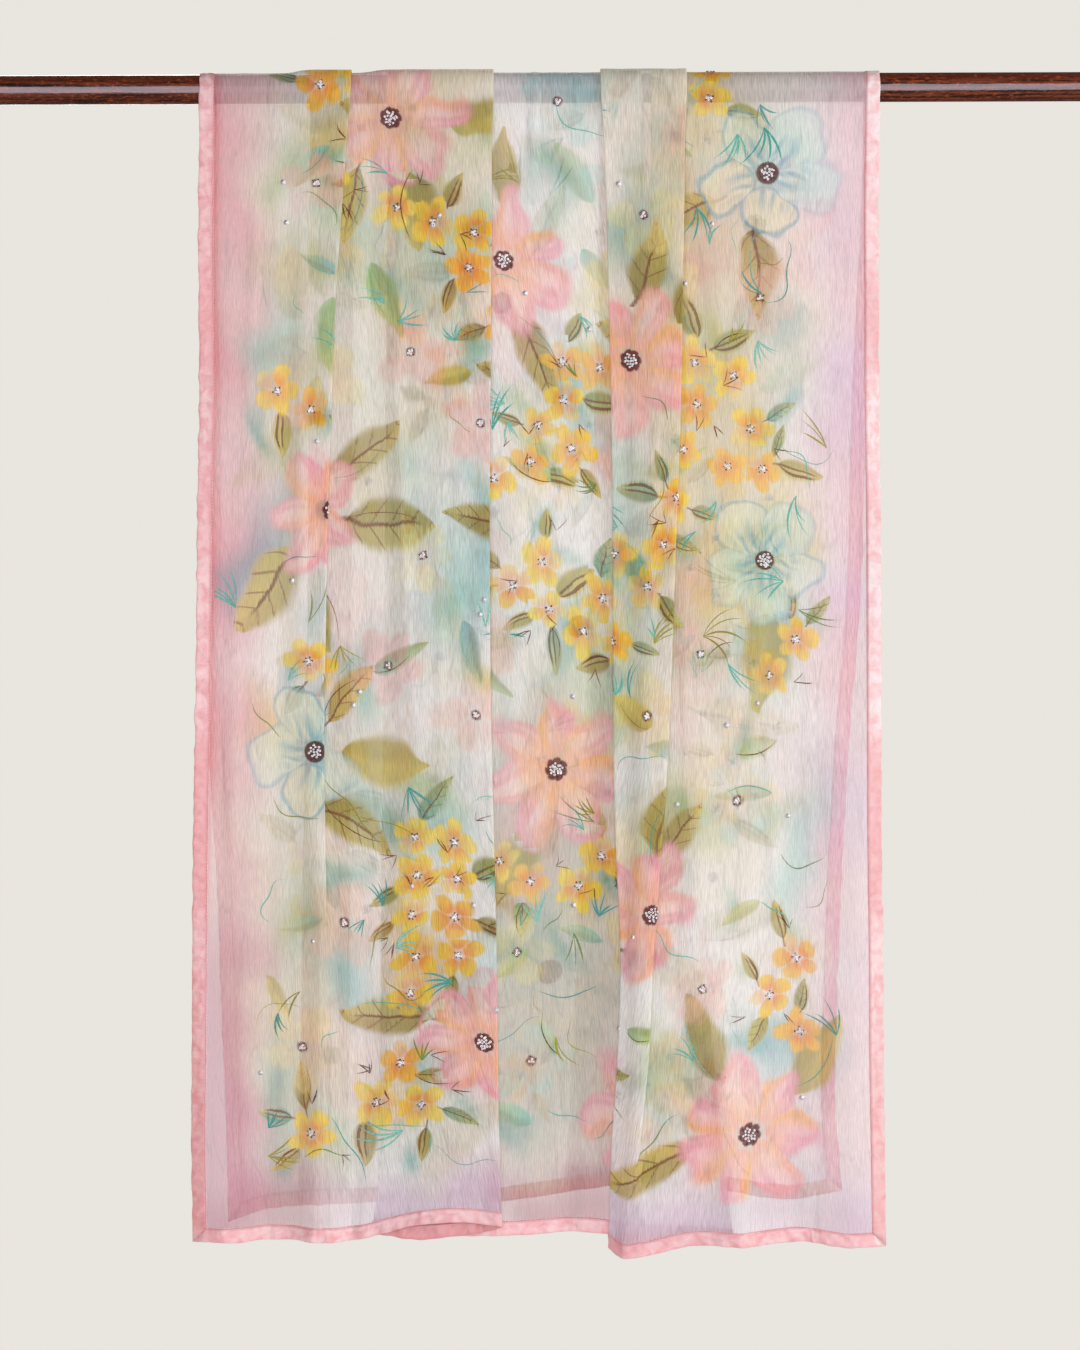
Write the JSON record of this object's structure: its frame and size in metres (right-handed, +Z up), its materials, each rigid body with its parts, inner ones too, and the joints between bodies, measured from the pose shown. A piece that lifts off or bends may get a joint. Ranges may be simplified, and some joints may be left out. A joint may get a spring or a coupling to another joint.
{
  "type": "dupatta stole hung over a wooden rod",
  "caption": "Sheer floral chiffon stole with a pink satin edge, hung in flat pleats over a round wooden rod so that it falls in front and behind.",
  "frame": {"origin": "on the rod's axis, halfway along it, where the rod is held and carries the stole", "axes": "+X along the rod to the viewer's right, +Y from the front fall to the back fall, +Z up"},
  "size_m": [1.22, 0.0619, 1.1269],
  "materials": {
    "chiffon": "sheer hand-painted silk crinkle chiffon, matt, painted in soft pink, yellow, aqua and olive",
    "satin": "pink satin binding, soft sheen, topstitched",
    "rod_wood": "dark red-brown lacquered hardwood, glossy",
    "beads": "small silver-white glass seed beads and pale sequins",
    "paint": "fabric paint soaked into the chiffon: petals, leaves and fine line work",
    "thread": "pink sewing thread"
  },
  "bodies": {
    "root": {"chiffon_front": "chiffon", "chiffon_over_rod": "chiffon", "chiffon_back": "chiffon", "binding_left_front": "satin", "binding_left_over_rod": "satin", "binding_left_back": "satin", "binding_right_front": "satin", "binding_right_over_rod": "satin", "binding_right_back": "satin", "binding_hem_front": "satin", "binding_hem_back": "satin", "rod": "rod_wood"}
  },
  "joints": []
}
